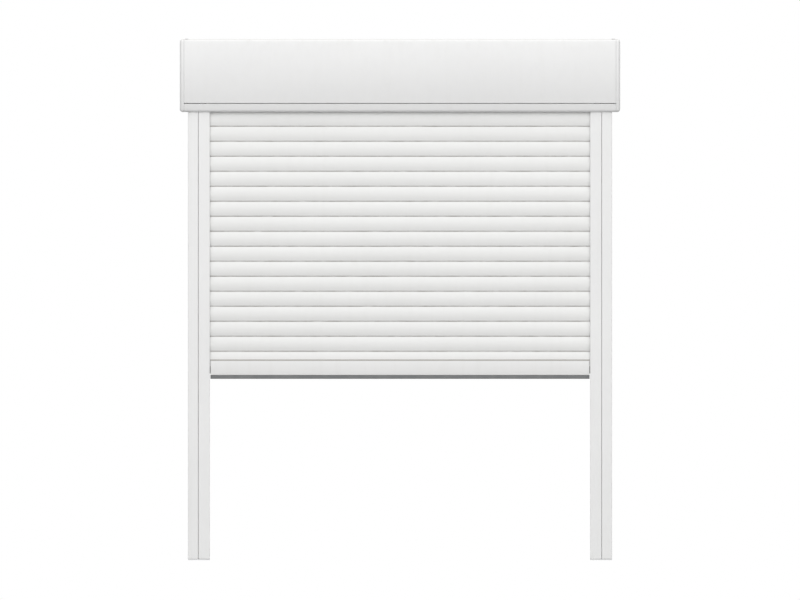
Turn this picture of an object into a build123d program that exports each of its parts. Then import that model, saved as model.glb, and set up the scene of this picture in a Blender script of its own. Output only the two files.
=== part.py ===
from build123d import *
from math import acos, asin, atan2, cos, degrees, floor, hypot, pi, radians, sin, sqrt, tan
import os

# Exterior roller shutter: a box over the window, two guide rails and a slatted curtain that a
# tubular motor winds up. The roll lies behind the curtain, so the slats bulge outwards.
# Millimetres. X runs along the shutter, Y goes from the street towards the window, Z is up.
# The origin is the middle of the rails' wall holes, on the plane that the rails are screwed to.

# Overall sizes
rail_span = 1046            # over the outer faces of both guide rails
rail_length = 1105          # from the sill to the underside of the box
box_overhang = 20           # of the box past the outer face of each rail
box_length = rail_span + 2 * box_overhang
box_height = 180
box_depth = 180
curtain_drop = 447          # way that the bottom seal still has down to the sill

# Guide rail
rail_width = 54
rail_depth = 22
rail_wall = 1.5
rail_crown = 1.2            # rise of the rail's front over its edges
rail_corner = 1.2
chamber_width = 24.4        # screw chamber under the clip-on cover
fixing_inset = 100          # of the wall holes from the rail's ends
fixing_hole = 5.5

# Box
box_sheet = 1.2             # roll-formed aluminium
box_corner = 8
front_bow = 10
front_lead = 16             # the bow stands this far in front of the rails
seam_height = 21            # of the joint between the front panel and the apron
cap_width = 10              # of the end cap seen from the front
cap_wall = 2.5
cap_edge = 7.4
cap_shoulder = 14           # that the box sheet is pushed over
shoulder_wall = 2

# Slat
slat_pitch = 37
slat_body = 5.4             # from the front skin to the back skin
slat_crown = 2.8            # rise of the curved front
slat_wall = 0.7
slat_rear = 2.45            # of the back skin's ends behind the hinge line
slat_groove = 1.6           # open seam between two slats
slat_engagement = 22        # of the curtain in each rail
hinge_pin = 0.85            # radius of the bead that the next slat hooks on
hinge_gap = 0.25
hinge_wall = 0.65
hinge_neck = 0.6            # sheet that carries the bead
hook_open_from = -57        # degrees, where the hook's ring is open for the neck
hook_open_to = 49

# Bottom bar and seal
bar_height = 38.6
bar_depth = 12
bar_wall = 1.1
bar_pocket = 13.9           # depth that the lowest slat sinks in
bar_side_gap = 1.5          # to each rail
seal_height = 9
seal_width = 8.5
seal_round_share = 1 / 3    # of the seal's width

# Shaft, motor and bearing
shaft_flats = 60            # octagon over its flats
shaft_wall = 1
shaft_end_gap = 45          # from the shaft's ends to the ends of the box
motor_radius = 22.5
motor_tube = 445
motor_head_radius = 29
motor_head = 22
axle_radius = 6
ball_count = 8

# Shared small sizes
fit = 0.1                   # between parts of one body that seat in each other
running_gap = 0.3           # between parts that turn or slide past each other
edge_round = 0.6
overrun = 1                 # of every cut past the face that it opens

os.makedirs("parts", exist_ok=True)


def write(part, label):
    """Name a finished piece and write it."""
    part.label = label
    export_step(part, f"parts/{label}.step")


def write_pair(part, label):
    """Write the right-hand piece and its mirror image."""
    with BuildPart() as left:
        mirror(part, about=Plane.YZ)
    write(part, f"{label}_right")
    write(left.part, f"{label}_left")


def patch(x, y, width, height, mode=Mode.ADD):
    """Rectangle drawn from its lower left corner."""
    with Locations((x, y)):
        Rectangle(width, height, align=(Align.MIN, Align.MIN), mode=mode)


# Levels and lines that the pieces share
rail_x = rail_span / 2
rail_top_z = rail_length / 2
rail_foot_z = -rail_top_z
clear_width = rail_span - 2 * rail_width
cap_x = box_length / 2 - cap_width
plate_x = box_length / 2 - cap_wall
box_front_y = -rail_depth - front_lead
box_rear_y = box_front_y + box_depth
box_edge_y = box_front_y + front_bow
box_bottom_z = rail_top_z
box_top_z = box_bottom_z + box_height
seam_z = box_bottom_z + seam_height
axis_y = box_front_y + box_depth / 2
axis_z = box_bottom_z + box_height / 2

# Guide rail: u runs inwards from its outer face, v forwards from the wall
channel_u = rail_wall + chamber_width + rail_wall
channel_depth = rail_depth - rail_crown - 2 * rail_wall
curtain_v = rail_wall + channel_depth / 2
front_inner_v = rail_wall + channel_depth
chamber_u = rail_wall + chamber_width / 2
cover_gap = 0.8             # seam line between the cover and the channel
cover_edge_u = rail_wall + chamber_width - cover_gap
seat_depth = 2.1            # thickened lip that holds a gasket
seat_length = 8.5
slot_mouth = 3
slot_width = 5
slot_depth = 1.1
slot_inset = 4.2
slot_u = rail_width - slot_inset

# Slat: a runs outwards and b upwards from the hinge line at its lower edge
slat_front = slat_body - slat_rear      # of the front skin's ends before the hinge line
hook_radius = hinge_pin + hinge_gap + hinge_wall
flange_gap = 0.45           # from the hook down to the front face's edge
flange_drop = hook_radius + flange_gap
shoulder_b = slat_pitch - flange_drop - slat_groove
face_middle_b = (shoulder_b - flange_drop) / 2
face_half = (shoulder_b + flange_drop) / 2
face_radius = (face_half**2 + slat_crown**2) / (2 * slat_crown)
face_centre_a = slat_front + slat_crown - face_radius

# Hanging part of the curtain
seal_bottom_z = rail_foot_z + curtain_drop
bar_bottom_z = seal_bottom_z + seal_height
bar_top_z = bar_bottom_z + bar_height
first_hinge_z = bar_top_z - bar_pocket
inlet_reach = 50            # the curtain hangs plumb up to about this level in the box
hanging_slats = floor((box_bottom_z + inlet_reach - first_hinge_z) / slat_pitch)
top_hinge_z = first_hinge_z + hanging_slats * slat_pitch
slat_length = clear_width + 2 * slat_engagement


def skin(b, depth=0):
    """Point of the slat's curved skin at height b, this deep behind the front."""
    reach = sqrt((face_radius - depth) ** 2 - (b - face_middle_b) ** 2)
    return (face_centre_a + reach, b)


body_bottom_b = hook_radius + hinge_gap
body_top_b = slat_pitch - hook_radius + hinge_wall / 2
slat_back = -skin(body_top_b, slat_body)[0]
slat_bulge = slat_front + slat_crown
curtain_y = -curtain_v + (slat_bulge - slat_back) / 2


def skin_arc(b_from, b_to, depth=0):
    """Curved stretch of a slat's skin."""
    ThreePointArc(skin(b_from, depth), skin((b_from + b_to) / 2, depth), skin(b_to, depth))


def hook_ring(centre_b, first_angle, last_angle):
    """Open ring that holds the next slat's bead; it is open between the two angles."""
    with Locations((0, centre_b)):
        Circle(hook_radius)
        Circle(hook_radius - hinge_wall, mode=Mode.SUBTRACT)
    reach = 2 * hook_radius
    with BuildLine() as opening:
        Polyline(
            (0, centre_b),
            (reach * cos(radians(first_angle)), centre_b + reach * sin(radians(first_angle))),
            (reach * cos(radians(last_angle)), centre_b + reach * sin(radians(last_angle))),
            close=True,
        )
    make_face(opening.edges(), mode=Mode.SUBTRACT)


def slat_outline(inset, mode=Mode.ADD):
    """Closed outline of the slat's hollow body, or of its chamber with the wall as inset."""
    bottom_b = body_bottom_b + inset
    top_b = body_top_b - inset
    edge_b = shoulder_b - inset / 2
    corner = (hinge_gap - inset / 2, top_b)
    with BuildLine() as outline:
        skin_arc(bottom_b, edge_b, inset)
        Line(skin(edge_b, inset), corner)
        Line(corner, skin(top_b, slat_body - inset))
        skin_arc(top_b, bottom_b, slat_body - inset)
        Line(skin(bottom_b, slat_body - inset), skin(bottom_b, inset))
    make_face(outline.edges(), mode=mode)


def slat_section():
    """Hollow curved body, hook above, and below it the flange with the hinge bead."""
    hook_ring(slat_pitch, hook_open_from, hook_open_to)
    slat_outline(0)
    slat_outline(slat_wall, Mode.SUBTRACT)
    with BuildLine() as flange:
        skin_arc(-flange_drop, body_bottom_b)
        Line(skin(body_bottom_b), skin(body_bottom_b, slat_wall))
        skin_arc(body_bottom_b, -flange_drop, slat_wall)
        Line(skin(-flange_drop, slat_wall), skin(-flange_drop))
    make_face(flange.edges())
    neck_a, neck_b = skin(-flange_drop + hinge_neck / 2, slat_wall / 2)
    with Locations((neck_a / 2, neck_b / 2)):
        Rectangle(hypot(neck_a, neck_b), hinge_neck, rotation=degrees(atan2(neck_b, neck_a)))
    Circle(hinge_pin)


def slat_plane(y, z, lean, length):
    """Plane of a slat's section at its right end: lean is the climb angle from the +Y axis."""
    outwards = (0, -sin(radians(lean)), cos(radians(lean)))
    return Plane(origin=(length / 2, y, z), x_dir=outwards, z_dir=(-1, 0, 0))


def slat_end(y, z, lean):
    """Hinge line at the upper end of a slat."""
    return (y + slat_pitch * cos(radians(lean)), z + slat_pitch * sin(radians(lean)))


# Hanging slats, numbered from the bottom bar upwards
plumb = 90
for number in range(1, hanging_slats + 1):
    hinge_z = first_hinge_z + (number - 1) * slat_pitch
    with BuildPart() as slat:
        with BuildSketch(slat_plane(curtain_y, hinge_z, plumb, slat_length)):
            slat_section()
        extrude(amount=slat_length)
    write(slat.part, f"slat_{number:02d}")

# Roll of wound slats: an inner layer on the shaft, one slat that climbs, and an outer layer
winding_gap = 0.6
inner_slats = 5
outer_slats = 6
shaft_sides = 8
shaft_corner = shaft_flats / 2 / cos(pi / shaft_sides)
back_bulge = slat_bulge - slat_body      # of the back skin's middle past the hinge lines
inner_chord = shaft_corner + winding_gap - back_bulge
inner_radius = hypot(inner_chord, slat_pitch / 2)
flange_reach = slat_pitch / 2 + flange_drop
layer_edge = hypot(inner_chord + slat_front, flange_reach)
outer_chord = layer_edge + winding_gap - back_bulge
outer_radius = hypot(outer_chord, slat_pitch / 2)
roll_radius = hypot(outer_chord + slat_front, flange_reach)
inner_step = degrees(2 * atan2(slat_pitch / 2, inner_chord))
outer_step = degrees(2 * atan2(slat_pitch / 2, outer_chord))
climb_step = degrees(
    acos((inner_radius**2 + outer_radius**2 - slat_pitch**2) / (2 * inner_radius * outer_radius))
)

# Two slats run in from the plumb part to the roll, and clear the turning roll
run_in_gap = 7              # opened hinge above the highest plumb slat
run_in_slats = 2
run_in_clear = 0.6
start_dy = axis_y - curtain_y
start_dz = axis_z - top_hinge_z - run_in_gap
run_in_distance = roll_radius + slat_back + run_in_clear
run_in_lean = degrees(
    atan2(start_dz, start_dy) + asin(run_in_distance / hypot(start_dy, start_dz))
)
run_in_z = top_hinge_z + run_in_gap
run_y, run_z = curtain_y, run_in_z
for number in range(hanging_slats + 1, hanging_slats + run_in_slats + 1):
    with BuildPart() as slat:
        with BuildSketch(slat_plane(run_y, run_z, run_in_lean, slat_length)):
            slat_section()
        extrude(amount=slat_length)
    write(slat.part, f"slat_{number:02d}")
    run_y, run_z = slat_end(run_y, run_z, run_in_lean)

# Hinge lines of the roll, from its loose end inwards, as radius and angle about the shaft
roll_start = degrees(atan2(run_z - axis_z, run_y - axis_y))
hinge_angles = [roll_start - outer_step * turn for turn in range(outer_slats + 1)]
hinge_radii = [outer_radius] * (outer_slats + 1)
climb_end = hinge_angles[-1] - climb_step
hinge_angles += [climb_end - inner_step * turn for turn in range(inner_slats + 1)]
hinge_radii += [inner_radius] * (inner_slats + 1)
hinges = [
    (axis_y + radius * cos(radians(angle)), axis_z + radius * sin(radians(angle)))
    for radius, angle in zip(hinge_radii, hinge_angles)
]
with BuildPart() as wound_slats:
    for (y, z), (next_y, next_z) in zip(hinges, hinges[1:]):
        with BuildSketch(slat_plane(y, z, degrees(atan2(next_z - z, next_y - y)), slat_length)):
            slat_section()
        extrude(amount=slat_length)
write(wound_slats.part, "wound_slats")


# Octagonal winding shaft, rolled from sheet, with slots for the hanger straps
strap_width = 24
strap_sheet = 0.6
strap_spacing_share = 1 / 3     # of the slats' length
strap_spacing = strap_spacing_share * slat_length
strap_xs = [-strap_spacing, 0, strap_spacing]
strap_hold = 3              # of the strap's tongue past the middle of the flat
slot_fit = 1.5
shaft_half = box_length / 2 - shaft_end_gap


def axis_plane_at(x):
    """Plane square to the shaft, at this place along it."""
    return Plane(origin=(x, axis_y, axis_z), x_dir=(0, 1, 0), z_dir=(1, 0, 0))


def octagon(flats, mode=Mode.ADD):
    """Octagon over its flats, with a flat facing the street."""
    turn = degrees(pi / shaft_sides)
    RegularPolygon(flats / 2, shaft_sides, major_radius=False, rotation=turn, mode=mode)


with BuildPart() as octagon_shaft:
    with BuildSketch(axis_plane_at(-shaft_half)):
        octagon(shaft_flats)
        octagon(shaft_flats - 2 * shaft_wall, mode=Mode.SUBTRACT)
    extrude(amount=2 * shaft_half)
    with BuildSketch(Plane(origin=(0, axis_y, axis_z), x_dir=(1, 0, 0), z_dir=(0, -1, 0))):
        with Locations([(x, strap_hold) for x in strap_xs]):
            Rectangle(strap_width + 2 * slot_fit, strap_sheet + 2 * slot_fit)
    extrude(amount=shaft_flats, mode=Mode.SUBTRACT)
write(octagon_shaft.part, "octagon_shaft")

# Hanger straps: sprung steel bands from the innermost slat to the slots in the shaft
strap_lift = shaft_corner + winding_gap + strap_sheet / 2
strap_flat = -shaft_flats / 2 - winding_gap - strap_sheet / 2
corner_angle = pi + pi / shaft_sides
last_y, last_z = hinges[-1][0] - axis_y, hinges[-1][1] - axis_z
strap_tongue = 3
strap_run = 5
strap_neck = 2.9
strap_neck_share = 0.3      # of the hook's opening, from its edge
last_lean = atan2(last_z - hinges[-2][1] + axis_z, last_y - hinges[-2][0] + axis_y)
neck_angle = last_lean + pi / 2 + radians(
    hook_open_from + strap_neck_share * (hook_open_to - hook_open_from)
)
with BuildPart() as hanger_straps:
    for x in strap_xs:
        with BuildSketch(axis_plane_at(x - strap_width / 2)):
            with BuildLine():
                Polyline(
                    (last_y, last_z),
                    (last_y + strap_neck * cos(neck_angle), last_z + strap_neck * sin(neck_angle)),
                    (strap_lift * cos(corner_angle), strap_lift * sin(corner_angle)),
                    (strap_flat, -strap_run),
                    (strap_flat, strap_hold),
                    (strap_flat + strap_tongue, strap_hold),
                )
            trace(line_width=strap_sheet)
            with Locations((last_y, last_z)):
                Circle(hinge_pin)
        extrude(amount=strap_width)
write(hanger_straps.part, "hanger_straps")


# Bottom bar: extruded hollow profile with the last slat hooked into its pocket
bar_length = clear_width - 2 * bar_side_gap
bar_front_a = (slat_bulge - slat_back + bar_depth) / 2
bar_rear_a = bar_front_a - bar_depth
bar_slot_depth = 1.6
bar_slot_mouth = 4.6
bar_slot_width = 7
bar_floor_wall = 2 * bar_wall + bar_slot_depth


def bar_plane(z, length=bar_length):
    """Plane of the bar's section, with a outwards and b up from the hinge line."""
    return slat_plane(curtain_y, z, plumb, length)


with BuildPart() as bottom_bar:
    with BuildSketch(bar_plane(bar_bottom_z)):
        hook_b = bar_height - bar_pocket
        floor_b = hook_b - flange_drop - running_gap
        patch(bar_rear_a, 0, bar_depth, bar_height)
        fillet(vertices(), radius=bar_wall)
        patch(bar_rear_a + bar_wall, floor_b, bar_depth - 2 * bar_wall, bar_height, Mode.SUBTRACT)
        patch(
            bar_rear_a + bar_wall, bar_floor_wall,
            bar_depth - 2 * bar_wall, floor_b - bar_wall - bar_floor_wall, Mode.SUBTRACT,
        )
        centre_a = (bar_rear_a + bar_front_a) / 2
        patch(centre_a - bar_slot_mouth / 2, 0, bar_slot_mouth, bar_wall, Mode.SUBTRACT)
        patch(centre_a - bar_slot_width / 2, bar_wall, bar_slot_width, bar_slot_depth, Mode.SUBTRACT)
    extrude(amount=bar_length)
    with BuildSketch(bar_plane(first_hinge_z)):
        hook_ring(0, hook_open_from, hook_open_to)
        stem_b = -flange_drop - running_gap - bar_wall / 2
        patch(-hinge_wall, stem_b, 2 * hinge_wall, hinge_wall / 2 - hook_radius - stem_b)
    extrude(amount=bar_length)
write(bottom_bar.part, "bottom_bar")

# Rubber seal: foot in the bar's slot, and a rounded body that meets the sill
with BuildPart() as bottom_seal:
    with BuildSketch(bar_plane(bar_bottom_z)):
        patch(centre_a - seal_width / 2, -seal_height, seal_width, seal_height)
        fillet(vertices().sort_by(Axis.Y)[:2], radius=seal_round_share * seal_width)
        patch(centre_a - bar_slot_mouth / 2 + fit, -fit, bar_slot_mouth - 2 * fit, bar_wall + 2 * fit)
        patch(
            centre_a - bar_slot_width / 2 + fit, bar_wall + fit,
            bar_slot_width - 2 * fit, bar_slot_depth - 2 * fit,
        )
    extrude(amount=bar_length)
write(bottom_seal.part, "bottom_seal")

# Plastic glides: a plug in each end of the bar and a tongue that runs in the rail
glide_plug = 24
glide_fit = 0.2
glide_height = hook_b - flange_drop - bar_floor_wall - 2 * running_gap
glide_tongue = slat_engagement + bar_side_gap - hinge_gap
glide_thickness = slat_bulge + slat_back - running_gap
chamber_height = floor_b - bar_wall - bar_floor_wall
with BuildPart() as bar_glides:
    with BuildSketch(bar_plane(bar_bottom_z, bar_length + 2 * glide_tongue)):
        patch(
            centre_a - glide_thickness / 2, bar_floor_wall + glide_fit,
            glide_thickness, glide_height,
        )
        fillet(vertices(), radius=slat_wall)
    extrude(amount=glide_tongue - glide_fit / 2)
    with BuildSketch(bar_plane(bar_bottom_z, bar_length + glide_fit)):
        patch(
            bar_rear_a + bar_wall + glide_fit, bar_floor_wall + glide_fit,
            bar_depth - 2 * bar_wall - 2 * glide_fit, chamber_height - 2 * glide_fit,
        )
    extrude(amount=glide_plug)
    mirror(about=Plane.YZ)
write(bar_glides.part, "bar_glides")

# End locks: a head on every second slat's ends, plugged into its chamber
lock_head = 1.4
lock_plug = 14
lock_width = 2.4
lock_height = 16
with BuildPart() as slat_end_locks:
    for number in range(2, hanging_slats + 1, 2):
        hinge_z = first_hinge_z + (number - 1) * slat_pitch
        head_a, head_b = skin(face_middle_b, slat_body / 2)
        with BuildSketch(slat_plane(curtain_y, hinge_z, plumb, slat_length + 2 * (lock_head + fit))):
            with Locations((head_a, head_b)):
                SlotOverall(lock_height + slat_body, slat_body - slat_wall, rotation=90)
        extrude(amount=lock_head)
        with BuildSketch(slat_plane(curtain_y, hinge_z, plumb, slat_length + 2 * fit)):
            with Locations((head_a, head_b)):
                Rectangle(lock_width, lock_height)
        extrude(amount=lock_plug)
    mirror(about=Plane.YZ)
write(slat_end_locks.part, "slat_end_locks")


# Guide rails: the channel takes the slats, the chamber beside it hides the wall screws
foot_plate = 2.5
gasket_end = 16             # of the gaskets below the rail's top, where the inlet guide plugs in
clip_rib = 1
clip_rib_v = 15.5
clip_leg = 1.2
clip_barb = 0.9


def rail_plane(z):
    """Plane across the right-hand rail: u runs inwards and v forwards."""
    return Plane(origin=(rail_x, 0, z), x_dir=(-1, 0, 0), z_dir=(0, 0, 1))


def rail_outline(mode=Mode.ADD):
    """Outline of the closed rail with its crowned front."""
    edge_v = rail_depth - rail_crown
    with BuildLine() as outline:
        Polyline((0, edge_v), (0, 0), (rail_width, 0), (rail_width, edge_v))
        ThreePointArc((rail_width, edge_v), (rail_width / 2, rail_depth), (0, edge_v))
    make_face(outline.edges(), mode=mode)


with BuildPart() as rail:
    with BuildSketch(rail_plane(rail_foot_z + foot_plate)):
        rail_outline()
        fillet(vertices().group_by(Axis.Y)[-1], radius=rail_corner)
        patch(rail_wall, rail_wall, chamber_width, rail_depth, Mode.SUBTRACT)
        patch(-overrun, front_inner_v - fit, channel_u - rail_wall + overrun, rail_depth, Mode.SUBTRACT)
        patch(channel_u, rail_wall, rail_width, channel_depth, Mode.SUBTRACT)
        for seat_v in (rail_wall, front_inner_v - seat_depth):
            patch(rail_width - seat_length, seat_v, seat_length, seat_depth)
        for slot_v, mouth_v in (
            (rail_wall, rail_wall + slot_depth),
            (front_inner_v - slot_depth, front_inner_v - seat_depth - overrun),
        ):
            patch(slot_u - slot_width / 2, slot_v, slot_width, slot_depth, Mode.SUBTRACT)
            patch(slot_u - slot_mouth / 2, mouth_v, slot_mouth, seat_depth, Mode.SUBTRACT)
        for rib_u in (rail_wall, rail_wall + chamber_width - clip_rib):
            patch(rib_u, clip_rib_v, clip_rib, clip_rib)
    extrude(amount=rail_length - foot_plate)
    hole_plane = Plane(origin=(rail_x - chamber_u, 0, 0), x_dir=(1, 0, 0), z_dir=(0, -1, 0))
    with BuildSketch(hole_plane):
        hole_z = rail_top_z - fixing_inset
        with Locations((0, -hole_z), (0, 0), (0, hole_z)):
            Circle(fixing_hole / 2)
    extrude(amount=rail_wall + overrun, mode=Mode.SUBTRACT)
write_pair(rail.part, "guide_rail")

with BuildPart() as cover:
    with BuildSketch(rail_plane(rail_foot_z + foot_plate)):
        rail_outline()
        fillet(vertices().group_by(Axis.Y)[-1], radius=rail_corner)
        patch(cover_edge_u, -overrun, rail_width, 2 * rail_depth, Mode.SUBTRACT)
        patch(-overrun, -overrun, rail_width, front_inner_v + overrun, Mode.SUBTRACT)
        leg_v = clip_rib_v - running_gap - clip_leg
        left_u = rail_wall + clip_rib + running_gap
        right_u = rail_wall + chamber_width - clip_rib - running_gap
        for leg_u, barb_u in ((left_u, left_u - clip_barb), (right_u - clip_leg, right_u)):
            patch(leg_u, leg_v, clip_leg, front_inner_v - leg_v)
            patch(barb_u, leg_v, clip_barb, clip_leg)
    extrude(amount=rail_length - foot_plate)
write_pair(cover.part, "rail_cover")

lip_top = -curtain_y - slat_back - running_gap
lip_front = -curtain_y + slat_bulge + running_gap
lip_width = 4.4
with BuildPart() as gaskets:
    with BuildSketch(rail_plane(rail_foot_z + foot_plate)):
        seat_v = rail_wall + seat_depth
        patch(slot_u - slot_width / 2 + fit, rail_wall + fit, slot_width - 2 * fit, slot_depth - 2 * fit)
        patch(slot_u - slot_mouth / 2 + fit, rail_wall + fit, slot_mouth - 2 * fit, seat_depth + fit)
        patch(slot_u - lip_width / 2, seat_v + fit, lip_width, lip_top - seat_v - fit)
        seat_v = front_inner_v - seat_depth
        patch(
            slot_u - slot_width / 2 + fit, front_inner_v - slot_depth + fit,
            slot_width - 2 * fit, slot_depth - 2 * fit,
        )
        patch(slot_u - slot_mouth / 2 + fit, seat_v - 2 * fit, slot_mouth - 2 * fit, seat_depth + fit)
        patch(slot_u - lip_width / 2, lip_front, lip_width, seat_v - fit - lip_front)
    extrude(amount=rail_length - foot_plate - gasket_end)
write_pair(gaskets.part, "rail_gaskets")

foot_plug = 12
with BuildPart() as foot:
    with BuildSketch(rail_plane(rail_foot_z)):
        rail_outline()
        fillet(vertices().group_by(Axis.Y)[-1], radius=rail_corner)
    extrude(amount=foot_plate)
    with BuildSketch(rail_plane(rail_foot_z + foot_plate)):
        patch(rail_wall + fit, rail_wall + fit, chamber_width - 2 * fit, foot_plug)
        patch(
            2 * rail_wall, 2 * rail_wall,
            chamber_width - 2 * rail_wall, foot_plug - 2 * rail_wall, Mode.SUBTRACT,
        )
    extrude(amount=foot_plug)
write_pair(foot.part, "rail_foot")

# Inlet guides: funnels on the rails' tops that lead the slat ends from the roll into the rails
guide_wall = 2
guide_side_x = rail_x - channel_u - running_gap
guide_inner_x = rail_x - rail_width + seat_length + running_gap
guide_gap = 0.35
guide_rear_y = curtain_y + slat_back + guide_gap
guide_front_y = curtain_y - slat_bulge - guide_gap
guide_plug_z = rail_top_z - gasket_end + running_gap
tongue_rise = 41
mouth_radius = 30
mouth_rise = 16
collar = 3
with BuildPart() as inlet_guide:
    slope = 1 / tan(radians(run_in_lean))
    tongue_y = curtain_y + slat_back / sin(radians(run_in_lean))
    tongue_z = run_in_z + (guide_rear_y - tongue_y) / slope
    top_z = top_hinge_z + tongue_rise
    top_y = guide_rear_y + (top_z - tongue_z) * slope
    mouth_top_z = top_hinge_z - mouth_rise / 2
    mouth_z = mouth_top_z - mouth_rise
    mouth_out = mouth_radius - sqrt(mouth_radius**2 - mouth_rise**2)
    with BuildSketch(Plane.YZ.offset(guide_inner_x)):
        with BuildLine():
            Polyline(
                (guide_rear_y, guide_plug_z),
                (guide_rear_y, tongue_z),
                (top_y, top_z),
                (top_y + guide_wall, top_z),
                (guide_rear_y + guide_wall, tongue_z),
                (guide_rear_y + guide_wall, guide_plug_z),
                close=True,
            )
        make_face()
        with BuildLine():
            Line((guide_front_y, guide_plug_z), (guide_front_y, mouth_z))
            RadiusArc((guide_front_y, mouth_z), (guide_front_y - mouth_out, mouth_top_z), -mouth_radius)
            Line(
                (guide_front_y - mouth_out, mouth_top_z),
                (guide_front_y - mouth_out - guide_wall, mouth_top_z),
            )
            RadiusArc(
                (guide_front_y - mouth_out - guide_wall, mouth_top_z),
                (guide_front_y - guide_wall, mouth_z), mouth_radius,
            )
            Line((guide_front_y - guide_wall, mouth_z), (guide_front_y - guide_wall, guide_plug_z))
            Line((guide_front_y - guide_wall, guide_plug_z), (guide_front_y, guide_plug_z))
        make_face()
    extrude(amount=guide_side_x - guide_inner_x)
    with BuildSketch(Plane.YZ.offset(guide_side_x - guide_wall)):
        with BuildLine():
            Polyline(
                (guide_front_y - guide_wall, guide_plug_z),
                (guide_rear_y + guide_wall, guide_plug_z),
                (guide_rear_y + guide_wall, top_hinge_z),
                (guide_front_y - guide_wall, mouth_top_z - mouth_rise / 2),
                close=True,
            )
        make_face()
    extrude(amount=guide_wall)
    with BuildSketch(Plane.XY.offset(rail_top_z + fit)):
        patch(
            guide_inner_x, -rail_depth + rail_wall + rail_crown,
            guide_side_x - guide_inner_x, rail_depth - 2 * rail_wall - rail_crown,
        )
        patch(
            guide_inner_x - overrun, guide_front_y,
            guide_side_x - guide_wall - guide_inner_x + overrun, guide_rear_y - guide_front_y,
            Mode.SUBTRACT,
        )
    extrude(amount=collar)
write_pair(inlet_guide.part, "inlet_guide")


# Box: front, top, back and underside follow one outline
panel_joint_y = -4          # seam between the front panel and the shell, on the top
panel_seam = 1.4            # groove between the front panel and the apron
joggle = 12
return_lip = 8
slot_lip = 10
apron_wall = 1.4
apron_rear_y = -rail_depth + rail_crown
shell_half = cap_x - fit
rivet_radius = 2
rivet_head = 4
rivet_dome = 1.1
rivet_taper = 45            # degrees
recess_width_share = 1 / 3      # of the rivet's radius
recess_width = recess_width_share * rivet_radius
rivet_x = cap_x - cap_shoulder / 2
rivet_top_front_share = 0.4     # of the box's depth, from its front
rivet_top_rear_share = 0.83
rivet_rear_low_share = 0.25     # of the box's height
rivet_rear_high_share = 0.75
rivet_ys = [
    box_front_y + share * box_depth for share in (rivet_top_front_share, rivet_top_rear_share)
]
rivet_zs = [
    box_bottom_z + share * box_height for share in (rivet_rear_low_share, rivet_rear_high_share)
]
panel_screw_y = (box_edge_y + panel_joint_y - joggle) / 2

# Cable inlet through the back of the box, on the motor's side
inlet_radius = 6
inlet_from_end = 60
inlet_rise = 30
inlet_x = cap_x - inlet_from_end
inlet_z = box_bottom_z + inlet_rise


def box_outline(inset=0, mode=Mode.ADD):
    """Outline of the box across its length, with the bowed front."""
    corner = box_corner - inset
    with BuildLine() as outline:
        edge = box_edge_y + inset
        ThreePointArc(
            (edge, box_bottom_z + inset), (box_front_y + inset, axis_z), (edge, box_top_z - inset)
        )
        Polyline(
            (edge, box_top_z - inset), (box_rear_y - inset, box_top_z - inset),
            (box_rear_y - inset, box_bottom_z + inset), (edge, box_bottom_z + inset),
        )
    with BuildSketch() as face:
        make_face(outline.edges())
        fillet(face.vertices(), radius=corner)
    add(face.sketch, mode=mode)


def box_sheet_ring():
    """The sheet all round the box."""
    box_outline()
    box_outline(box_sheet, Mode.SUBTRACT)


def end_pattern(places, radius):
    """Circles at these places across the sheet, near both ends of the box."""
    with Locations([(side * rivet_x, place) for side in (-1, 1) for place in places]):
        Circle(radius)


with BuildPart() as box_shell:
    with BuildSketch(Plane.YZ.offset(-shell_half)):
        box_sheet_ring()
        patch(
            box_front_y - overrun, box_bottom_z - overrun,
            panel_joint_y - box_front_y + overrun, box_height + 2 * overrun, Mode.SUBTRACT,
        )
        patch(
            panel_joint_y - overrun, box_bottom_z - overrun,
            -panel_joint_y + overrun, box_height / 2, Mode.SUBTRACT,
        )
        patch(0, box_bottom_z, box_sheet, slot_lip)
        step_z = box_top_z - 2 * box_sheet - fit
        patch(panel_joint_y - joggle, step_z, joggle + 2 * box_sheet, box_sheet)
        patch(panel_joint_y + box_sheet, step_z, box_sheet, 2 * box_sheet)
    extrude(amount=2 * shell_half)
    with BuildSketch(Plane.XY.offset(box_top_z)):
        end_pattern(rivet_ys, rivet_radius + fit)
    extrude(amount=-box_sheet - overrun, mode=Mode.SUBTRACT)
    with BuildSketch(Plane.XZ.offset(-box_rear_y)):
        end_pattern(rivet_zs, rivet_radius + fit)
    extrude(amount=box_sheet + overrun, mode=Mode.SUBTRACT)
    with BuildSketch(Plane.XZ.offset(-box_rear_y)):
        with Locations((inlet_x, inlet_z)):
            Circle(inlet_radius + fit)
    extrude(amount=box_sheet + overrun, mode=Mode.SUBTRACT)
write(box_shell.part, "box_shell")

with BuildPart() as front_panel:
    with BuildSketch(Plane.YZ.offset(-shell_half)):
        box_sheet_ring()
        patch(
            panel_joint_y - running_gap, box_bottom_z - overrun,
            box_depth, box_height + 2 * overrun, Mode.SUBTRACT,
        )
        patch(
            box_front_y - overrun, box_bottom_z - overrun,
            box_depth, seam_height + overrun + panel_seam / 2, Mode.SUBTRACT,
        )
        bow_share = 1 - seam_height / (box_height / 2)
        low_y = box_front_y + box_sheet + front_bow * bow_share**2
        patch(low_y - box_sheet / 2, seam_z + panel_seam / 2, return_lip, box_sheet)
    extrude(amount=2 * shell_half)
    with BuildSketch(Plane.XY.offset(box_top_z)):
        end_pattern([panel_screw_y], rivet_radius + fit)
    extrude(amount=-box_sheet - overrun, mode=Mode.SUBTRACT)
write(front_panel.part, "front_panel")

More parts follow.
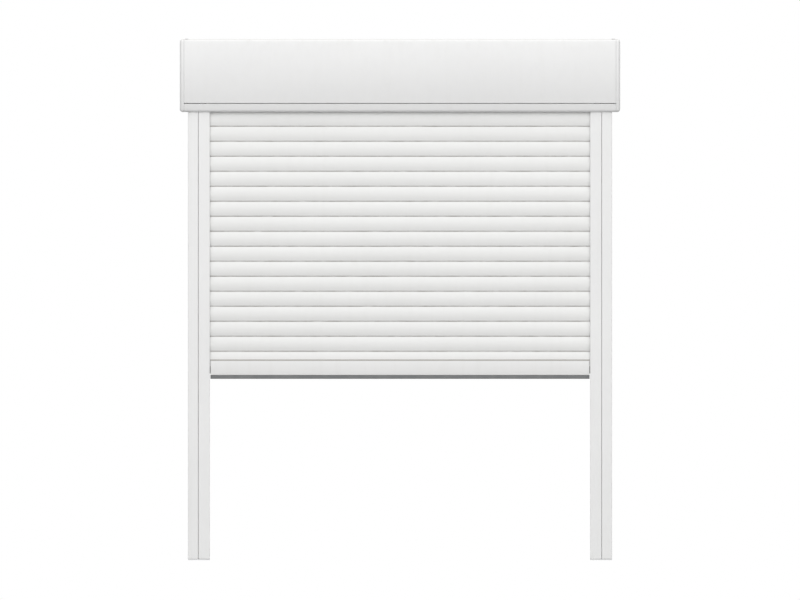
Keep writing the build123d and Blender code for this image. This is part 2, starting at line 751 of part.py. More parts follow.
# Apron: extruded profile under the front panel, in front of the curtain's slot
apron_top_z = seam_z - panel_seam / 2
seal_slot = 2.4
seal_slot_z = box_bottom_z + seam_height / 2
with BuildPart() as apron:
    with BuildSketch(Plane.YZ.offset(-shell_half)):
        box_outline()
        patch(
            apron_rear_y, box_bottom_z - overrun, box_depth, box_height + 2 * overrun, Mode.SUBTRACT
        )
        patch(box_front_y - overrun, apron_top_z, box_depth, box_height, Mode.SUBTRACT)
        box_core = box_bottom_z + apron_wall
        with BuildLine():
            inner_front = box_edge_y + apron_wall
            Polyline(
                (inner_front + apron_wall, box_core), (apron_rear_y - apron_wall, box_core),
                (apron_rear_y - apron_wall, apron_top_z - apron_wall),
                (inner_front - apron_wall, apron_top_z - apron_wall),
                close=True,
            )
        make_face(mode=Mode.SUBTRACT)
        patch(
            apron_rear_y - apron_wall - overrun, seal_slot_z, apron_wall + 2 * overrun, seal_slot,
            Mode.SUBTRACT,
        )
    extrude(amount=2 * shell_half)
write(apron.part, "apron_rail")

# Wiper lip of soft plastic between the apron and the curtain
with BuildPart() as apron_lip:
    with BuildSketch(Plane.YZ.offset(-guide_inner_x + running_gap)):
        wiper_y = guide_front_y
        patch(
            apron_rear_y - 2 * apron_wall, seal_slot_z + fit,
            wiper_y - apron_rear_y + 2 * apron_wall, seal_slot - 2 * fit,
        )
    extrude(amount=2 * (guide_inner_x - running_gap))
write(apron_lip.part, "apron_lip")

# End caps: die-cast, with a shoulder for the box sheets and a spigot for the rail
post_radius = 5.5
post_circle_radius = 34
post_count = 4
post_start = 45             # degrees
rib_count = 8
screw_radius = 2.4
rib_sheet = 2
rib_rise = 4
hub_radius = 42
rib_length = 43
spigot_length = 60
spigot_depth = 9
spigot_wall = 2.4
seat_plate = 3.6
sheet_fit = box_sheet + fit

with BuildPart() as cap:
    with BuildSketch(Plane.YZ.offset(cap_x)):
        box_outline()
    extrude(amount=cap_width)
    fillet(faces().sort_by(Axis.X)[-1].edges(), radius=cap_edge)
    with BuildSketch(Plane.YZ.offset(cap_x)):
        box_outline(cap_wall)
    extrude(amount=cap_width - cap_wall, mode=Mode.SUBTRACT)
    fillet(faces().filter_by(Axis.X).sort_by(Axis.X)[-2].edges(), radius=cap_edge - cap_wall)
    with BuildSketch(Plane.YZ.offset(cap_x - cap_shoulder)):
        box_outline(sheet_fit)
        box_outline(sheet_fit + shoulder_wall, Mode.SUBTRACT)
        patch(
            box_front_y, box_bottom_z, apron_rear_y - box_front_y + running_gap,
            seam_height + panel_seam / 2 + box_sheet + running_gap, Mode.SUBTRACT,
        )
        patch(-running_gap, box_bottom_z, box_sheet + 2 * running_gap, box_height / 2, Mode.SUBTRACT)
        patch(
            panel_joint_y - joggle - running_gap, step_z - running_gap,
            joggle + 2 * box_sheet + 2 * running_gap, box_height, Mode.SUBTRACT,
        )
    extrude(amount=cap_shoulder + cap_wall)
    with BuildSketch(axis_plane_at(cap_x)):
        with PolarLocations(post_circle_radius, post_count, start_angle=post_start):
            Circle(post_radius)
    extrude(amount=cap_width - cap_wall)
    with BuildSketch(axis_plane_at(plate_x - rib_rise)):
        Circle(hub_radius)
        Circle(hub_radius - rib_sheet, mode=Mode.SUBTRACT)
        with PolarLocations(hub_radius - rib_sheet / 2 + rib_length / 2, rib_count):
            Rectangle(rib_length, rib_sheet)
    extrude(amount=rib_rise)
    with BuildSketch(axis_plane_at(cap_x)):
        with PolarLocations(post_circle_radius, post_count, start_angle=post_start):
            Circle(screw_radius + fit)
    extrude(amount=cap_width - cap_wall, mode=Mode.SUBTRACT)
    chamber_inner_x = rail_x - rail_wall - chamber_width
    with BuildSketch(Plane.XY.offset(rail_top_z + fit)):
        patch(
            chamber_inner_x + fit, -spigot_depth - rail_wall,
            cap_x - chamber_inner_x - fit, spigot_depth,
        )
    extrude(amount=seat_plate)
    with BuildSketch(Plane.XY.offset(rail_top_z - spigot_length)):
        patch(
            chamber_inner_x + clip_rib + fit, -spigot_depth - rail_wall,
            chamber_width - 2 * clip_rib - 2 * fit, spigot_depth - fit,
        )
        patch(
            chamber_inner_x + clip_rib + fit + spigot_wall, -spigot_depth - rail_wall,
            chamber_width - 2 * clip_rib - 2 * fit - 2 * spigot_wall, spigot_depth - spigot_wall,
            Mode.SUBTRACT,
        )
    extrude(amount=spigot_length + 2 * fit)
    with BuildSketch(Plane.XY.offset(box_top_z)):
        with Locations([(rivet_x, y) for y in [panel_screw_y, *rivet_ys]]):
            Circle(rivet_radius + fit)
    extrude(amount=-cap_shoulder, mode=Mode.SUBTRACT)
    with BuildSketch(Plane.XZ.offset(-box_rear_y)):
        with Locations([(rivet_x, z) for z in rivet_zs]):
            Circle(rivet_radius + fit)
    extrude(amount=cap_shoulder, mode=Mode.SUBTRACT)
write_pair(cap.part, "end_cap")

# Blind rivets of the shell, and the two screws that hold the front panel on top
with BuildPart() as shell_rivets:
    with BuildSketch(Plane.XY.offset(box_top_z - sheet_fit - shoulder_wall)):
        end_pattern(rivet_ys, rivet_radius)
    extrude(amount=sheet_fit + shoulder_wall)
    with BuildSketch(Plane.XY.offset(box_top_z)):
        end_pattern(rivet_ys, rivet_head)
    extrude(amount=rivet_dome, taper=rivet_taper)
    with BuildSketch(Plane.XZ.offset(-box_rear_y + sheet_fit + shoulder_wall)):
        end_pattern(rivet_zs, rivet_radius)
    extrude(amount=-sheet_fit - shoulder_wall)
    with BuildSketch(Plane.XZ.offset(-box_rear_y)):
        end_pattern(rivet_zs, rivet_head)
    extrude(amount=-rivet_dome, taper=rivet_taper)
write(shell_rivets.part, "shell_rivets")

with BuildPart() as panel_screws:
    with BuildSketch(Plane.XY.offset(box_top_z - sheet_fit - shoulder_wall)):
        end_pattern([panel_screw_y], rivet_radius)
    extrude(amount=sheet_fit + shoulder_wall)
    with BuildSketch(Plane.XY.offset(box_top_z)):
        end_pattern([panel_screw_y], rivet_head)
    extrude(amount=rivet_dome)
    fillet(faces().sort_by(Axis.Z)[-1].edges(), radius=rivet_dome / 2)
    with BuildSketch(Plane.XY.offset(box_top_z + rivet_dome)):
        with Locations([(side * rivet_x, panel_screw_y) for side in (-1, 1)]):
            Rectangle(rivet_head, recess_width)
            Rectangle(recess_width, rivet_head)
    extrude(amount=-rivet_dome / 2, mode=Mode.SUBTRACT)
write(panel_screws.part, "panel_screws")

# Grommet of the cable inlet
grommet_bore = 3.5
grommet_flange = 9
grommet_rim = 2
grommet_taper = 30          # degrees
with BuildPart() as cable_grommet:
    with BuildSketch(Plane.XZ.offset(-box_rear_y + box_sheet + grommet_rim)):
        with Locations((inlet_x, inlet_z)):
            Circle(grommet_flange)
            Circle(grommet_bore, mode=Mode.SUBTRACT)
    extrude(amount=-grommet_rim + fit)
    with BuildSketch(Plane.XZ.offset(-box_rear_y + box_sheet + fit)):
        with Locations((inlet_x, inlet_z)):
            Circle(inlet_radius)
            Circle(grommet_bore, mode=Mode.SUBTRACT)
    extrude(amount=-box_sheet - 2 * fit)
    with BuildSketch(Plane.XZ.offset(-box_rear_y - fit)):
        with Locations((inlet_x, inlet_z)):
            Circle(grommet_flange)
            Circle(grommet_bore, mode=Mode.SUBTRACT)
    extrude(amount=-grommet_rim, taper=grommet_taper)
write(cable_grommet.part, "cable_grommet")

# Motor bracket on the right-hand posts, and its counterpart, the bearing holder, on the left
plate_side = 62
plate_corner = 8
plate_sheet = 4
stub_side = 12
screw_head_radius = 4.2
screw_head_rise = 2.6
screw_bite_depth = 6
bearing_width = 8
bearing_outer = 18
bearing_outer_bore = 14.5
bearing_inner_outer = 9.5
ball_radius = 2.7
ball_circle_radius = (bearing_outer_bore + bearing_inner_outer) / 2
cup_wall = 3
plate_face_x = cap_x - plate_sheet


def carrier_plate(x):
    """Square plate on four posts, from this place outwards along X."""
    with BuildSketch(axis_plane_at(x)) as outline:
        RectangleRounded(plate_side, plate_side, plate_corner)
        with PolarLocations(post_circle_radius, post_count, start_angle=post_start):
            Circle(screw_radius + fit, mode=Mode.SUBTRACT)
    extrude(outline.sketch, amount=plate_sheet)


with BuildPart() as motor_bracket:
    carrier_plate(plate_face_x)
    with BuildSketch(axis_plane_at(plate_face_x)):
        Rectangle(stub_side + 2 * fit, stub_side + 2 * fit)
    extrude(amount=plate_sheet, mode=Mode.SUBTRACT)
write(motor_bracket.part, "motor_bracket")

with BuildPart() as carrier_screws:
    with BuildSketch(axis_plane_at(plate_face_x - screw_head_rise)):
        with PolarLocations(post_circle_radius, post_count, start_angle=post_start):
            Circle(screw_head_radius)
    extrude(amount=screw_head_rise)
    with BuildSketch(axis_plane_at(plate_face_x)):
        with PolarLocations(post_circle_radius, post_count, start_angle=post_start):
            Circle(screw_radius)
    extrude(amount=plate_sheet + screw_bite_depth)
    mirror(about=Plane.YZ)
write(carrier_screws.part, "carrier_screws")

# Tubular motor: head at the bracket, tube inside the shaft
head_outer_x = plate_face_x - screw_head_rise / 2
head_inner_x = head_outer_x - motor_head
motor_end_x = head_inner_x - motor_tube
head_ridge = 2
head_ridges = 4
with BuildPart() as tubular_motor:
    with BuildSketch(axis_plane_at(motor_end_x)):
        Circle(motor_radius)
    extrude(amount=motor_tube)
    with BuildSketch(axis_plane_at(head_inner_x)):
        Circle(motor_head_radius)
        with PolarLocations(motor_head_radius, head_ridges):
            Circle(head_ridge, mode=Mode.SUBTRACT)
    extrude(amount=motor_head)
    fillet(faces().sort_by(Axis.X)[-1].edges().filter_by(GeomType.CIRCLE), radius=edge_round)
    with BuildSketch(axis_plane_at(head_outer_x)):
        Rectangle(stub_side, stub_side)
    extrude(amount=plate_sheet + screw_bite_depth)
write(tubular_motor.part, "tubular_motor")

# Crown ring that turns on the motor, and the drive adapter at its other end
crown_depth = 20
crown_flange = 2.5
flange_radius = 33
inner_flats = shaft_flats - 2 * shaft_wall - 2 * fit
with BuildPart() as crown_ring:
    with BuildSketch(axis_plane_at(shaft_half - crown_depth)):
        octagon(inner_flats)
    extrude(amount=crown_depth)
    with BuildSketch(axis_plane_at(shaft_half + fit)):
        Circle(flange_radius)
    extrude(amount=crown_flange)
    with BuildSketch(axis_plane_at(shaft_half)):
        Circle(inner_flats / 2)
    extrude(amount=fit)
    with BuildSketch(axis_plane_at(shaft_half - crown_depth)):
        Circle(motor_radius + running_gap)
    extrude(amount=crown_depth + crown_flange + overrun, mode=Mode.SUBTRACT)
write(crown_ring.part, "crown_ring")

output_radius = 7
output_flat = 5.2
output_length = 24
adapter_depth = 20
with BuildPart() as motor_output:
    with BuildSketch(axis_plane_at(motor_end_x - running_gap)):
        Circle(output_radius)
        patch(-output_radius, output_flat, 2 * output_radius, output_radius, Mode.SUBTRACT)
    extrude(amount=-output_length)
write(motor_output.part, "motor_output")

with BuildPart() as drive_adapter:
    with BuildSketch(axis_plane_at(motor_end_x - running_gap - output_length)):
        octagon(inner_flats)
        Circle(output_radius + fit, mode=Mode.SUBTRACT)
        patch(-output_radius, output_flat + fit, 2 * output_radius, output_radius)
    extrude(amount=adapter_depth)
write(drive_adapter.part, "drive_adapter")

# Idler capsule in the shaft's other end, with the axle pin that the bearing carries
capsule_depth = 55
capsule_wall = 4
pin_depth = 30
holder_x = -plate_face_x
bearing_x = holder_x + cup_wall / 2
pin_end_x = bearing_x - running_gap
with BuildPart() as idler_capsule:
    with BuildSketch(axis_plane_at(-shaft_half)):
        octagon(inner_flats)
    extrude(amount=capsule_depth)
    with BuildSketch(axis_plane_at(-shaft_half - fit)):
        Circle(flange_radius)
    extrude(amount=-crown_flange)
    with BuildSketch(axis_plane_at(-shaft_half)):
        Circle(inner_flats / 2)
    extrude(amount=-fit)
    with BuildSketch(axis_plane_at(-shaft_half - fit - crown_flange - overrun)):
        Circle(axle_radius + fit)
    extrude(amount=pin_depth + overrun, mode=Mode.SUBTRACT)
    with BuildSketch(axis_plane_at(-shaft_half + pin_depth)):
        octagon(inner_flats - 2 * capsule_wall)
    extrude(amount=capsule_depth, mode=Mode.SUBTRACT)
write(idler_capsule.part, "idler_capsule")

with BuildPart() as idler_pin:
    with BuildSketch(axis_plane_at(pin_end_x)):
        Circle(axle_radius)
    extrude(amount=-shaft_half - fit - crown_flange + pin_depth - overrun - pin_end_x)
    chamfer(edges().filter_by(GeomType.CIRCLE), length=edge_round)
write(idler_pin.part, "idler_pin")


def race(inner, outer, groove):
    """Ring of the ball bearing with its groove for the balls."""
    with BuildSketch(axis_plane_at(bearing_x)) as ring:
        Circle(outer)
        Circle(inner, mode=Mode.SUBTRACT)
    extrude(ring.sketch, amount=bearing_width)
    middle = bearing_x + bearing_width / 2
    with BuildSketch(Plane(origin=(middle, axis_y, axis_z), x_dir=(1, 0, 0), z_dir=(0, -1, 0))) as cut:
        with Locations((0, ball_circle_radius)):
            Circle(groove)
    axle_line = Axis((0, axis_y, axis_z), (1, 0, 0))
    revolve(cut.sketch, axis=axle_line, mode=Mode.SUBTRACT)


with BuildPart() as bearing_inner_ring:
    race(axle_radius + fit / 2, bearing_inner_outer, ball_radius + fit)
write(bearing_inner_ring.part, "bearing_inner_ring")

with BuildPart() as bearing_outer_ring:
    race(bearing_outer_bore, bearing_outer, ball_radius + running_gap)
write(bearing_outer_ring.part, "bearing_outer_ring")

with BuildPart() as bearing_balls:
    with Locations(axis_plane_at(bearing_x + bearing_width / 2)):
        with PolarLocations(ball_circle_radius, ball_count):
            Sphere(ball_radius)
write(bearing_balls.part, "bearing_balls")

with BuildPart() as bearing_holder:
    carrier_plate(-cap_x)
    with BuildSketch(axis_plane_at(holder_x)) as cup:
        Circle(bearing_outer + cup_wall)
    extrude(cup.sketch, amount=cup_wall / 2 + bearing_width)
    with BuildSketch(axis_plane_at(bearing_x)) as pocket:
        Circle(bearing_outer + fit)
    extrude(pocket.sketch, amount=bearing_width + overrun, mode=Mode.SUBTRACT)
    with BuildSketch(axis_plane_at(-cap_x - overrun)) as relief:
        Circle(axle_radius + running_gap)
    extrude(relief.sketch, amount=plate_sheet + cup_wall + overrun, mode=Mode.SUBTRACT)
write(bearing_holder.part, "bearing_holder")
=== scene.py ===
from math import cos, pi, radians, sin, sqrt

import bpy
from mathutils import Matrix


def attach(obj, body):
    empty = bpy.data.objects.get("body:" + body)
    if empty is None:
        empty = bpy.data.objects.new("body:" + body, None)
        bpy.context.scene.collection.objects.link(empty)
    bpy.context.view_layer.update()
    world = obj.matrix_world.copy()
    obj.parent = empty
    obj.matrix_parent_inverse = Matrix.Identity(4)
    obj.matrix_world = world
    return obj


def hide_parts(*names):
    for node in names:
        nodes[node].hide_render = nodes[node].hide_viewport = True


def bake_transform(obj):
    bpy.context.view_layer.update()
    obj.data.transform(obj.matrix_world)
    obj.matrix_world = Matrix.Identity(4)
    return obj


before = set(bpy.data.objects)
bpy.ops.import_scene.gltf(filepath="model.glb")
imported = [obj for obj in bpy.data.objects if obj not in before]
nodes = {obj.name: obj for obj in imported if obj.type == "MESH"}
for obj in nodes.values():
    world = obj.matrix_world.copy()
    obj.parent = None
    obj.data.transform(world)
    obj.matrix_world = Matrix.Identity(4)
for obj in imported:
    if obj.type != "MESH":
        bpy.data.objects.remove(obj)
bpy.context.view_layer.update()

mm = 0.001

# Shutter box: roll-formed aluminium shell and front panel between two cast end caps.
# All of it has a white powder coat with fine orange peel, faint run-off streaks on the front,
# and a film of dust on what faces upwards.


def add(tree, kind, **values):
    """Node with its fields and unlinked inputs set."""
    node = tree.nodes.new(kind)
    for key, value in values.items():
        if key in node.inputs:
            node.inputs[key].default_value = value
        else:
            setattr(node, key, value)
    return node


def new_group(name, inputs, outputs):
    """Empty shader group with its named sockets, and its two end nodes."""
    group = bpy.data.node_groups.new(name, "ShaderNodeTree")
    for label, kind, value in inputs:
        socket = group.interface.new_socket(label, in_out="INPUT", socket_type=kind)
        socket.default_value = value
    for label, kind in outputs:
        group.interface.new_socket(label, in_out="OUTPUT", socket_type=kind)
    return group, group.nodes.new("NodeGroupInput"), group.nodes.new("NodeGroupOutput")


def stretched(tree, scale):
    """Object coordinates, stretched along the piece's own grain."""
    place = add(tree, "ShaderNodeTexCoord")
    mapping = add(tree, "ShaderNodeMapping")
    mapping.inputs["Scale"].default_value = scale
    tree.links.new(place.outputs["Object"], mapping.inputs["Vector"])
    return mapping.outputs["Vector"]


def noise(tree, scale, stretch, detail=3.0):
    """Noise of so many cells to the metre, stretched along the grain."""
    cells = add(tree, "ShaderNodeTexNoise", Scale=scale, Detail=detail)
    tree.links.new(stretched(tree, stretch), cells.inputs["Vector"])
    return cells.outputs["Fac"]


def ranged(tree, value, low, high, to_low=0.0, to_high=1.0):
    """The value, spread from one range to another."""
    spread = add(tree, "ShaderNodeMapRange")
    ends = {"From Min": low, "From Max": high, "To Min": to_low, "To Max": to_high}
    for label, amount in ends.items():
        spread.inputs[label].default_value = amount
    tree.links.new(value, spread.inputs["Value"])
    return spread.outputs["Result"]


def times(tree, first, second):
    """Product of two values, or of a value and a number."""
    product = add(tree, "ShaderNodeMath", operation="MULTIPLY")
    tree.links.new(first, product.inputs[0])
    if isinstance(second, float):
        product.inputs[1].default_value = second
    else:
        tree.links.new(second, product.inputs[1])
    return product.outputs[0]


def blended(tree, share, first, second, kind="MIX"):
    """Mix of two colours by a share; each is a colour or a socket."""
    mix = add(tree, "ShaderNodeMix", data_type="RGBA", blend_type=kind)
    # The node has sockets of like names for each kind of data, so they are taken by number.
    factor, colour_a, colour_b, result = 0, 6, 7, 2
    for socket_number, value in ((factor, share), (colour_a, first), (colour_b, second)):
        if isinstance(value, (tuple, float)):
            mix.inputs[socket_number].default_value = value
        else:
            tree.links.new(value, mix.inputs[socket_number])
    return mix.outputs[result]


def settled_dust():
    """Dust: a thin film on what faces upwards, and loose patches in fine grains."""
    group, entry, leave = new_group(
        "settled_dust",
        [("Colour", "NodeSocketColor", (0.8, 0.8, 0.8, 1)), ("Amount", "NodeSocketFloat", 0.3)],
        [("Colour", "NodeSocketColor"), ("Mask", "NodeSocketFloat")],
    )
    facing = add(group, "ShaderNodeSeparateXYZ")
    surface = add(group, "ShaderNodeNewGeometry")
    group.links.new(surface.outputs["Normal"], facing.inputs["Vector"])
    upward = ranged(group, facing.outputs["Z"], 0.1, 1.0, 0.1, 1.0)
    patches = ranged(group, noise(group, 60.0, (1, 1, 0.5), detail=8.0), 0.46, 0.72)
    grains = ranged(group, noise(group, 1400.0, (1, 1, 1)), 0.35, 0.75)
    film = ranged(group, facing.outputs["Z"], 0.55, 1.0, 0.0, 0.55)
    loose = times(group, times(group, upward, patches), grains)
    both = add(group, "ShaderNodeMath", operation="MAXIMUM")
    group.links.new(film, both.inputs[0])
    group.links.new(loose, both.inputs[1])
    mask = times(group, both.outputs[0], entry.outputs["Amount"])
    dust_brown = (0.38, 0.35, 0.30, 1)
    covered = blended(group, mask, entry.outputs["Colour"], dust_brown)
    group.links.new(covered, leave.inputs["Colour"])
    group.links.new(mask, leave.inputs["Mask"])
    return group


def sprayed_coat():
    """Powder coat: orange peel as height, faint clouds and run-off streaks in the colour."""
    group, entry, leave = new_group(
        "sprayed_coat",
        [("Colour", "NodeSocketColor", (0.8, 0.8, 0.8, 1)), ("Streaks", "NodeSocketFloat", 0.5)],
        [("Colour", "NodeSocketColor"), ("Height", "NodeSocketFloat")],
    )
    clouds = ranged(group, noise(group, 7.0, (0.5, 1, 1), detail=5.0), 0.3, 0.7, 0.975, 1.0)
    runs = ranged(group, noise(group, 55.0, (1, 1, 0.04), detail=4.0), 0.52, 0.75)
    streaks = times(group, runs, entry.outputs["Streaks"])
    coat = blended(group, 1.0, entry.outputs["Colour"], clouds, "MULTIPLY")
    run_off = (0.60, 0.58, 0.54, 1)
    group.links.new(blended(group, streaks, coat, run_off), leave.inputs["Colour"])
    group.links.new(noise(group, 800.0, (1, 1, 1), detail=2.0), leave.inputs["Height"])
    return group


dust_effect = settled_dust()
coat_effect = sprayed_coat()


def start_finish(name, gloss):
    """New material with its shader, and its tree."""
    material = bpy.data.materials.new(name)
    material.use_nodes = True
    shader = material.node_tree.nodes["Principled BSDF"]
    shader.inputs["Specular IOR Level"].default_value = gloss
    return material, material.node_tree, shader


def join_finish(tree, shader, colour, dust, roughness, height, depth, edge):
    """Dust over the colour, roughness with it, and the bump on edges eased by the finish.
    The bump's depth and the width of the eased edge are in millimetres."""
    settled = add(tree, "ShaderNodeGroup", node_tree=dust_effect)
    settled.inputs["Amount"].default_value = dust
    tree.links.new(colour, settled.inputs["Colour"])
    tree.links.new(settled.outputs["Colour"], shader.inputs["Base Color"])
    dull = add(tree, "ShaderNodeMath", operation="MULTIPLY_ADD")
    dulled_by_dust = 0.5
    dull.inputs[1].default_value = dulled_by_dust
    dull.inputs[2].default_value = roughness
    tree.links.new(settled.outputs["Mask"], dull.inputs[0])
    uneven = times(tree, dull.outputs[0], ranged(tree, height, 0.2, 0.8, 0.94, 1.06))
    tree.links.new(uneven, shader.inputs["Roughness"])
    eased = add(tree, "ShaderNodeBevel", samples=6)
    eased.inputs["Radius"].default_value = edge * mm
    bump = add(tree, "ShaderNodeBump", Strength=0.5, Distance=depth * mm)
    tree.links.new(height, bump.inputs["Height"])
    tree.links.new(eased.outputs["Normal"], bump.inputs["Normal"])
    tree.links.new(bump.outputs["Normal"], shader.inputs["Normal"])


def powder_coat(name, colour, streaks, dust, edge):
    """Satin powder coat on aluminium."""
    material, tree, shader = start_finish(name, gloss=0.42)
    coat = add(tree, "ShaderNodeGroup", node_tree=coat_effect)
    coat.inputs["Colour"].default_value = colour
    coat.inputs["Streaks"].default_value = streaks
    join_finish(tree, shader, coat.outputs["Colour"], dust=dust, roughness=0.42,
                height=coat.outputs["Height"], depth=0.03, edge=edge)
    return material


def finish(names, material):
    """Gives carried-over pieces their finish, with smooth curves between their sharp edges."""
    joined_within, sharp_from = 0.01 * mm, radians(25)
    for name in names:
        piece = nodes[name]
        piece.data.materials.clear()
        piece.data.materials.append(material)
        piece.data.polygons.foreach_set("use_smooth", [True] * len(piece.data.polygons))
        weld = piece.modifiers.new("weld", "WELD")
        weld.merge_threshold = joined_within
        corners = piece.modifiers.new("corners", "EDGE_SPLIT")
        corners.split_angle = sharp_from


white = (0.825, 0.825, 0.822, 1)
box_coat = powder_coat("box_powder_coat", white, streaks=0.03, dust=0.5, edge=2.4)
finish(["box_shell", "front_panel", "apron_rail", "apron_lip", "end_cap_left", "end_cap_right"],
       box_coat)

# Blind rivets hold the shell to the end caps, along the ends of the box's top and back, and two
# screws on top hold the front panel. All are white-lacquered, and the rivets' domed heads show the
# broken stub of their pin in a small well.
rivet_head = [
    (0, 0.62), (0.8, 0.6), (0.95, 0.3), (1.15, 0.3), (1.35, 1.0), (1.9, 1.1), (2.7, 0.95),
    (3.4, 0.6), (3.85, 0.2), (4.0, 0), (2.0, 0), (2.0, -2.1),
]


def turned(name, profile, places, sides=32):
    """Turned piece at each place: a profile of radius and height, swept about its axis.
    A place is a point and whether the axis points up or to the back."""
    points, faces, sharp_from = [], [], radians(40)
    for (x, y, z), upright in places:
        first = len(points)
        for radius, height in profile:
            for side in range(sides):
                turn = 2 * pi * side / sides
                across, along = radius * cos(turn) * mm, radius * sin(turn) * mm
                rise = height * mm
                if upright:
                    points.append((x + across, y + along, z + rise))
                else:
                    points.append((x + across, y + rise, z - along))
        for ring in range(len(profile) - 1):
            for side in range(sides):
                here, after = first + ring * sides, first + (ring + 1) * sides
                turn = (side + 1) % sides
                faces.append((here + side, after + side, after + turn, here + turn))
    mesh = bpy.data.meshes.new(name)
    mesh.from_pydata(points, [], faces)
    mesh.validate()
    mesh.polygons.foreach_set("use_smooth", [True] * len(mesh.polygons))
    piece = bpy.data.objects.new(name, mesh)
    bpy.context.scene.collection.objects.link(piece)
    corners = piece.modifiers.new("corners", "EDGE_SPLIT")
    corners.split_angle = sharp_from
    return piece


box_top, box_rear = 732.5 * mm, 142 * mm
rivet_x = 526 * mm
top_rivets_y = (34, 111.4)
rear_rivets_z = (597.5, 687.5)
rivet_places = []
for side in (-1, 1):
    for y in top_rivets_y:
        rivet_places.append(((side * rivet_x, y * mm, box_top), True))
    for z in rear_rivets_z:
        rivet_places.append(((side * rivet_x, box_rear, z * mm), False))
rivets = turned("blind_rivets", rivet_head, rivet_places)
lacquer_white = powder_coat(
    "rivet_lacquer", (0.805, 0.805, 0.80, 1), streaks=0.0, dust=0.4, edge=0.3
)
rivets.data.materials.append(lacquer_white)
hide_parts("shell_rivets")
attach(rivets, "housing")
finish(["panel_screws"], lacquer_white)

# Guide rails: extruded aluminium, each with a clip-on cover over its wall screws.
# Under the coat the fine die lines of the extrusion still run along the rail.


def die_lines():
    """Lines that a die or a roll leaves along a profile, and its slight waviness."""
    group, entry, leave = new_group(
        "die_lines",
        [("Height", "NodeSocketFloat", 0.5), ("Upright", "NodeSocketFloat", 1.0)],
        [("Height", "NodeSocketFloat")],
    )
    upright = noise(group, 700.0, (1, 1, 0.004), detail=3.0)
    level = noise(group, 700.0, (0.004, 1, 1), detail=3.0)
    pick = add(group, "ShaderNodeMix", data_type="FLOAT")
    factor, value_a, value_b = 0, 2, 3
    group.links.new(entry.outputs["Upright"], pick.inputs[factor])
    group.links.new(level, pick.inputs[value_a])
    group.links.new(upright, pick.inputs[value_b])
    lined = add(group, "ShaderNodeMath", operation="MULTIPLY_ADD")
    line_share = 0.6
    lined.inputs[1].default_value = line_share
    group.links.new(pick.outputs[0], lined.inputs[0])
    group.links.new(times(group, entry.outputs["Height"], 1 - line_share), lined.inputs[2])
    group.links.new(lined.outputs[0], leave.inputs["Height"])
    return group


line_effect = die_lines()


def coated_profile(name, colour, upright, streaks, dust, roughness, edge):
    """Coat on a drawn or rolled profile, with the lines of its die under it."""
    material, tree, shader = start_finish(name, gloss=0.42)
    coat = add(tree, "ShaderNodeGroup", node_tree=coat_effect)
    coat.inputs["Colour"].default_value = colour
    coat.inputs["Streaks"].default_value = streaks
    lines = add(tree, "ShaderNodeGroup", node_tree=line_effect)
    lines.inputs["Upright"].default_value = upright
    tree.links.new(coat.outputs["Height"], lines.inputs["Height"])
    join_finish(tree, shader, coat.outputs["Colour"], dust=dust, roughness=roughness,
                height=lines.outputs["Height"], depth=0.03, edge=edge)
    return material


profile_white = (0.872, 0.872, 0.868, 1)
rail_coat = coated_profile(
    "rail_powder_coat", profile_white, upright=1.0, streaks=0.05, dust=0.4, roughness=0.4, edge=2.4
)
finish(["guide_rail_left", "guide_rail_right", "rail_cover_left", "rail_cover_right"],
       rail_coat)

# Rail feet and inlet guides: injection-moulded nylon, white at the sill and black in the box.
# Both are plugged into the rails' ends; the mould leaves a fine spark-eroded grain.


def moulded_nylon(name, colour, roughness):
    """Moulded plastic with a fine eroded grain and faint flow clouds."""
    material, tree, shader = start_finish(name, gloss=0.35)
    grain = noise(tree, 2600.0, (1, 1, 1), detail=2.0)
    flow = ranged(tree, noise(tree, 25.0, (1, 1, 1), detail=3.0), 0.3, 0.7, 0.92, 1.0)
    tint = blended(tree, 1.0, colour, flow, "MULTIPLY")
    join_finish(tree, shader, tint, dust=0.3, roughness=roughness, height=grain, depth=0.04, edge=0.4)
    return material


white_nylon = moulded_nylon("white_nylon", (0.78, 0.785, 0.79, 1), roughness=0.5)
finish(["rail_foot_left", "rail_foot_right"], white_nylon)
black_nylon = moulded_nylon("black_nylon", (0.035, 0.035, 0.037, 1), roughness=0.5)
finish(["inlet_guide_left", "inlet_guide_right"], black_nylon)

# Gaskets and cable grommet: dark grey rubber, extruded or moulded, dull and slightly mottled.
# The gaskets run the length of the rails on both sides of the slats.


def dull_rubber(name, colour, dust):
    """Rubber with bloom in patches and a grain along its length."""
    material, tree, shader = start_finish(name, gloss=0.25)
    grain = noise(tree, 1500.0, (0.15, 1, 1), detail=3.0)
    bloom = ranged(tree, noise(tree, 40.0, (1, 1, 1), detail=6.0), 0.4, 0.75)
    bloom_grey = (0.34, 0.34, 0.33, 1)
    tint = blended(tree, times(tree, bloom, 0.25), colour, bloom_grey)
    join_finish(tree, shader, tint, dust=dust, roughness=0.72, height=grain, depth=0.08, edge=0.5)
    return material


rubber = dull_rubber("grey_rubber", (0.205, 0.21, 0.215, 1), dust=0.4)
finish(["rail_gaskets_left", "rail_gaskets_right", "cable_grommet"], rubber)

# Slats: hollow, roll-formed from coil-coated aluminium strip, each hooked into the one above.
# The rolls leave lines along the slat, and shade is painted into the hinge seams between the slats.
pitch = 37
first_seam = -37.2
# Colour of the painted shade in the slats' seams and on the bottom bar.
painted_shade_colour = (0.25, 0.23, 0.20, 1)


